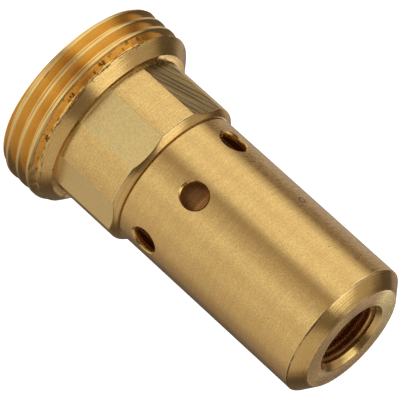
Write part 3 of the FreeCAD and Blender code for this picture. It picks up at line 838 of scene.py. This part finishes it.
def brass(zone):
    """Brass with the tool marks of one zone. The faces also carry a painted highlight and painted shade on the nose,
    the port's brass is painted darker as shade, and the inner pieces carry a painted glow.
    """
    name = "brass_" + zone
    if name in bpy.data.materials:
        return bpy.data.materials[name]
    marks_name, density, depth, rough, pull, colour_name, line_share, grain_share, metal = BRASS_FINISHES[zone]
    colours = bpy.context.scene.regulator_finish
    deep, pale = Vector(colours.brass_deep), Vector(colours.brass_pale)
    plain = Vector(getattr(colours, colour_name))
    made, tree, shader = new_material(name)
    marks = place(tree, marks_name, {"Rings per mm": density})
    handling = place(tree, "handling")
    tone = remap(tree, marks.outputs["Tone"], 0.38, 0.62, 0.0, 0.14)
    colour = blend_colours(tree, tone, plain, deep)
    grain = remap(tree, marks.outputs["Grain"], 0.36, 0.64, 0.0, grain_share)
    colour = blend_colours(tree, grain, colour, plain * 0.55)
    lines = remap(tree, marks.outputs["Lines"], 0.3, 0.72, line_share, 0.0)
    line_colour = deep * 0.7 if colour_name == "brass" else plain * 0.25
    colour = blend_colours(tree, lines, colour, line_colour)
    colour = blend_colours(tree, times(tree, handling.outputs["Stain"], 0.16), colour, deep)
    worn = times(tree, handling.outputs["Edge"], 0.5)
    colour = blend_colours(tree, worn, colour, pale)
    if zone == "faces":
        # Painted highlight on the nose face.
        colour = blend_colours(tree, handling.outputs["Painted Highlight"], colour, pale)
        # Painted shade on the nose face.
        colour = blend_colours(tree, times(tree, handling.outputs["Painted Shade"], 0.8), colour, deep * 0.5)
    colour = blend_colours(tree, times(tree, handling.outputs["Nick"], 0.8), colour, deep * 0.3)
    soiled = handling.outputs["Soil"]
    colour = blend_colours(tree, soiled, colour, deep * 0.25)
    roughness = remap(tree, marks.outputs["Grain"], 0.35, 0.65, rough * 0.8, rough * 1.25)
    height = marks.outputs["Height"]
    if zone == "barrel":
        chatter = times(tree, marks.outputs["Chatter"], 0.5)
        colour = blend_colours(tree, chatter, colour, deep * 0.55)
        height = calc(tree, "SUBTRACT", height, times(tree, chatter, 1.5))
    if zone == "flats":
        coarse, cuts, flat = marks.outputs["Coarse Flat"], marks.outputs["Cuts"], marks.outputs["Flat"]
        light = plain.lerp(pale, 0.65)
        milled = blend_colours(tree, grain, light, light * 0.72)
        colour = blend_colours(tree, flat, colour, milled)
        cut = blend_colours(tree, cuts, plain * 0.22, plain * 0.75)
        colour = blend_colours(tree, coarse, colour, cut)
        satin = times(tree, calc(tree, "SUBTRACT", flat, coarse), 0.16)
        roughness = plus(tree, roughness, satin)
    roughness = plus(tree, roughness, times(tree, handling.outputs["Stain"], 0.04))
    roughness = plus(tree, roughness, times(tree, soiled, 0.3))
    dents = plus(tree, handling.outputs["Nick"], times(tree, soiled, 0.8))
    height = calc(tree, "SUBTRACT", height, times(tree, dents, 1.5))
    give(tree, shader, {"Base Color": colour, "Roughness": roughness, "Normal": bumped(tree, height, depth)})
    shader.inputs["Metallic"].default_value = metal
    # Painted glow: the inner brass pieces give off light in their own colour, standing in for light bounced in the
    # bore.
    if zone == "inner":
        tree.links.new(colour, shader.inputs["Emission Color"])
        shader.inputs["Emission Strength"].default_value = PAINTED_INNER_GLOW
    shader.inputs["Anisotropic"].default_value = pull
    shader.inputs["Anisotropic Rotation"].default_value = 0.25
    tangent = add(tree, "Tangent", direction_type="RADIAL", axis="Z")
    tree.links.new(tangent.outputs[0], shader.inputs["Tangent"])
    return made


def plain_metal(name, colour, rough, density):
    """Steel with faint drawn or rolled marks and a few stains."""
    made, tree, shader = new_material(name)
    marks = place(tree, "lathe_marks", {"Rings per mm": density})
    handling = place(tree, "handling", {"Stain Scale": 0.6})
    dark = tuple(0.55 * channel for channel in colour)
    share = times(tree, handling.outputs["Stain"], 0.5)
    give(tree, shader, {
        "Base Color": blend_colours(tree, share, tuple(colour), dark),
        "Roughness": remap(tree, marks.outputs["Tone"], 0.3, 0.7, rough * 0.8, rough * 1.3),
        "Normal": bumped(tree, marks.outputs["Height"], 0.25),
    })
    shader.inputs["Metallic"].default_value = 1.0
    return made


def moulded(name, colour, rough, grain):
    """Rubber or plastic with a fine moulded grain, a greased sheen and lighter dust."""
    made, tree, shader = new_material(name)
    x, y, z, radius, angle, spot = polar(tree)
    fine = cloud(tree, spot, grain, 4.0)
    broad = cloud(tree, spot, 0.5, 2.0)
    lighter = tuple(min(1.0, channel * 1.25 + 0.01) for channel in colour)
    give(tree, shader, {
        "Base Color": blend_colours(tree, broad, tuple(colour), lighter),
        "Roughness": remap(tree, broad, 0.3, 0.7, rough * 0.75, rough * 1.2),
        "Normal": bumped(tree, fine, 0.2),
    })
    return made


def dress(nodes, material):
    """Gives CAD nodes a material."""
    for name in nodes:
        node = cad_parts[name]
        node.data.materials.clear()
        node.data.materials.append(material)


class REGULATOR_OT_brass_pieces(bpy.types.Operator):
    """Give the cartridge's brass pieces a turned finish and a painted glow"""

    bl_idname = "regulator.brass_pieces"
    bl_label = "Brass Pieces"

    def execute(self, context):
        dress(["seat_carrier", "seat_retainer", "stem_guide", "gland_ring", "piston_head", "stem_nut"], brass("inner"))
        return {"FINISHED"}


class REGULATOR_OT_coil(bpy.types.Operator):
    """Wind the main spring"""

    bl_idname = "regulator.coil"
    bl_label = "Main Spring"

    def execute(self, context):
        sizes = context.scene.regulator_coil
        coil = new_object("coil_spring", coil_mesh(sizes))
        coil.data.materials.append(plain_metal("spring_steel", context.scene.regulator_finish.steel, 0.34, 1.5))
        for face in coil.data.polygons:
            face.use_smooth = True
        coil.data.set_sharp_from_angle(angle=math.radians(40))
        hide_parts("main_spring")
        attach(coil, "housing")
        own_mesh(coil)
        return {"FINISHED"}


class REGULATOR_OT_steel_pieces(bpy.types.Operator):
    """Give the washers, strainer, stem and retaining ring their steels"""

    bl_idname = "regulator.steel_pieces"
    bl_label = "Steel Pieces"

    def execute(self, context):
        colours = context.scene.regulator_finish
        dress(["retaining_ring"], plain_metal("ring_steel", colours.steel, 0.34, 1.5))
        rolled = plain_metal("rolled_stainless", colours.stainless, 0.30, 2.5)
        dress(["inlet_strainer", "spring_washer_fixed", "spring_washer_moving", "spring_shims"], rolled)
        dress(["piston_stem"], plain_metal("turned_stainless", colours.stainless, 0.18, 6.0))
        return {"FINISHED"}


class REGULATOR_OT_soft_pieces(bpy.types.Operator):
    """Give the seals, rings and seat their rubber and plastics"""

    bl_idname = "regulator.soft_pieces"
    bl_label = "Seals and Plastics"

    def execute(self, context):
        colours = context.scene.regulator_finish
        rubber = moulded("seal_rubber", colours.rubber, 0.42, 9.0)
        dress(["guide_seal", "stem_seal", "stem_wiper", "piston_seal", "stem_head_seal"], rubber)
        dress(["stem_backup_ring", "piston_wear_ring"], moulded("white_plastic", colours.white_plastic, 0.45, 6.0))
        dress(["valve_seat", "stop_ring"], moulded("seat_plastic", colours.seat_plastic, 0.5, 5.0))
        return {"FINISHED"}


# Light round the horizon, a little below camera height: azimuth from -Y in degrees, and strength.
HORIZON = [
    (-180, 0.10), (-168, 0.20), (-160, 0.34), (-150, 0.48), (-140, 0.46), (-128, 0.46), (-112, 0.12), (-104, 0.36),
    (-92, 0.72), (-80, 1.05), (-68, 0.98), (-58, 0.92), (-50, 1.04), (-38, 0.96), (-28, 0.70), (-19, 0.34), (-10, 0.46),
    (0, 0.58), (10, 0.68), (20, 0.88), (32, 0.84), (42, 0.70), (60, 0.72), (80, 0.60), (100, 0.54), (120, 0.31),
    (138, 0.20), (148, 0.07), (165, 0.04), (174, 0.06), (180, 0.10),
]
# Soft patches above: azimuth, elevation, half width, half height, softness and strength.
SOFT_PATCHES = [
    (-55, 60, 26, 10, 12, 1.30),
    (-105, 48, 14, 14, 16, 0.40),
    (95, 52, 30, 18, 20, 0.50),
    (0, 76, 40, 6, 8, 0.12),
    (180, 22, 14, 8, 8, 0.18),
    (-169, 30, 6, 7, 6, 1.30),
]


def floor_material():
    """Pale floor, lit evenly, with hardly any grain."""
    made, tree, shader = new_material("pale_floor")
    spot = add(tree, "TexCoord").outputs["Object"]
    grain = cloud(tree, spot, 300.0, 2.0)
    colour = blend_colours(tree, grain, (0.93, 0.93, 0.93), (0.97, 0.97, 0.97))
    tree.links.new(colour, shader.inputs["Base Color"])
    shader.inputs["Roughness"].default_value = 0.9
    shader.inputs["Emission Color"].default_value = (1, 1, 1, 1)
    shader.inputs["Emission Strength"].default_value = 0.95
    return made


def studio_dome():
    """A dim dome with soft patches of light."""
    world = bpy.data.worlds.new("studio")
    world.use_nodes = True
    bpy.context.scene.world = world
    tree = world.node_tree
    tree.nodes.clear()
    parts = add(tree, "SeparateXYZ", {0: add(tree, "TexCoord").outputs["Generated"]}).outputs
    azimuth = calc(tree, "ARCTAN2", parts[0], times(tree, parts[1], -1.0))
    azimuth = times(tree, azimuth, math.degrees(1))
    elevation = times(tree, calc(tree, "ARCSINE", parts[2]), math.degrees(1))
    ring = add(tree, "FloatCurve", {"Value": plus(tree, calc(tree, "DIVIDE", azimuth, 360.0), 0.5)})
    curve = ring.mapping.curves[0]
    for _ in HORIZON[2:]:
        curve.points.new(0.5, 0.5)
    for point, (bearing, strength) in zip(curve.points, HORIZON):
        point.location = (bearing / 360 + 0.5, strength / 1.2)
    ring.mapping.update()
    level = remap(tree, elevation, -2.0, 14.0, 1.0, 0.0)
    total = plus(tree, 0.10, times(tree, times(tree, ring.outputs[0], 1.25), level))
    for patch in SOFT_PATCHES:
        total = plus(tree, soft_patch(tree, azimuth, elevation, patch), total)
    tint = blend_colours(tree, remap(tree, total, 0.15, 1.0, 0.0, 1.0), (1.0, 0.86, 0.74), (0.96, 1.0, 0.96))
    background = add(tree, "Background", {"Color": tint, "Strength": total})
    output = tree.nodes.new("ShaderNodeOutputWorld")
    tree.links.new(background.outputs[0], output.inputs[0])


def studio_camera(settings):
    """A long lens, looking down at the regulator and turned about its own axis."""
    tilt, roll = settings.elevation, settings.roll
    back = Vector((0, -math.cos(tilt), math.sin(tilt)))
    level_right = Vector((1, 0, 0))
    level_up = Vector((0, math.sin(tilt), math.cos(tilt)))
    right = level_right * math.cos(roll) + level_up * math.sin(roll)
    up = level_up * math.cos(roll) - level_right * math.sin(roll)
    aim = Vector((0, 0, settings.aim_height)) - right * settings.aim_right + up * settings.aim_down
    data = bpy.data.cameras.new("studio_camera")
    data.lens = settings.lens
    data.sensor_width = 36
    data.clip_start = 0.01
    data.clip_end = 50
    camera = bpy.data.objects.new("studio_camera", data)
    rows = zip(right, up, back, aim + back * settings.distance)
    camera.matrix_world = Matrix([*rows, (0, 0, 0, 1)])
    bpy.context.scene.collection.objects.link(camera)
    bpy.context.scene.camera = camera


class REGULATOR_OT_stage(bpy.types.Operator):
    """Lay a pale floor, light the studio and set the camera"""

    bl_idname = "regulator.stage"
    bl_label = "Stage"

    def execute(self, context):
        settings = context.scene.regulator_studio
        mesh = bmesh.new()
        half = settings.floor_size / 2
        bmesh.ops.create_grid(mesh, x_segments=4, y_segments=4, size=half)
        floor = new_object("floor", mesh)
        floor.data.materials.append(floor_material())
        floor.visible_glossy = False
        floor.visible_shadow = False
        studio_dome()
        studio_camera(settings)
        context.scene.view_settings.view_transform = "Standard"
        return {"FINISHED"}


STEPS = [
    REGULATOR_OT_body,
    REGULATOR_OT_coil,
    REGULATOR_OT_brass_pieces,
    REGULATOR_OT_steel_pieces,
    REGULATOR_OT_soft_pieces,
    REGULATOR_OT_stage,
]
SETTINGS = {
    "regulator_threads": ThreadSizes,
    "regulator_body": BodySizes,
    "regulator_coil": CoilSizes,
    "regulator_finish": FinishColours,
    "regulator_studio": StudioSettings,
}


class REGULATOR_PT_steps(bpy.types.Panel):
    """Steps that build the regulator"""

    bl_idname = "REGULATOR_PT_steps"
    bl_label = "Pressure Regulator"
    bl_space_type = "VIEW_3D"
    bl_region_type = "UI"
    bl_category = "Regulator"

    def draw(self, context):
        for step in STEPS:
            self.layout.operator(step.bl_idname)
        for name, kind in SETTINGS.items():
            box = self.layout.box()
            for setting in kind.__annotations__:
                box.prop(getattr(context.scene, name), setting)


def register():
    for kind in [*SETTINGS.values(), *STEPS, REGULATOR_PT_steps]:
        bpy.utils.register_class(kind)
    for name, kind in SETTINGS.items():
        setattr(bpy.types.Scene, name, bpy.props.PointerProperty(type=kind))


def unregister():
    for name in SETTINGS:
        delattr(bpy.types.Scene, name)
    for kind in reversed([*SETTINGS.values(), *STEPS, REGULATOR_PT_steps]):
        bpy.utils.unregister_class(kind)


def main():
    """Builds everything in order."""
    register()
    for build in (build_lathe_marks, build_mill_marks, build_handling):
        build()
    for step in STEPS:
        package, name = step.bl_idname.split(".")
        getattr(getattr(bpy.ops, package), name)()


if __name__ == "__main__":
    main()
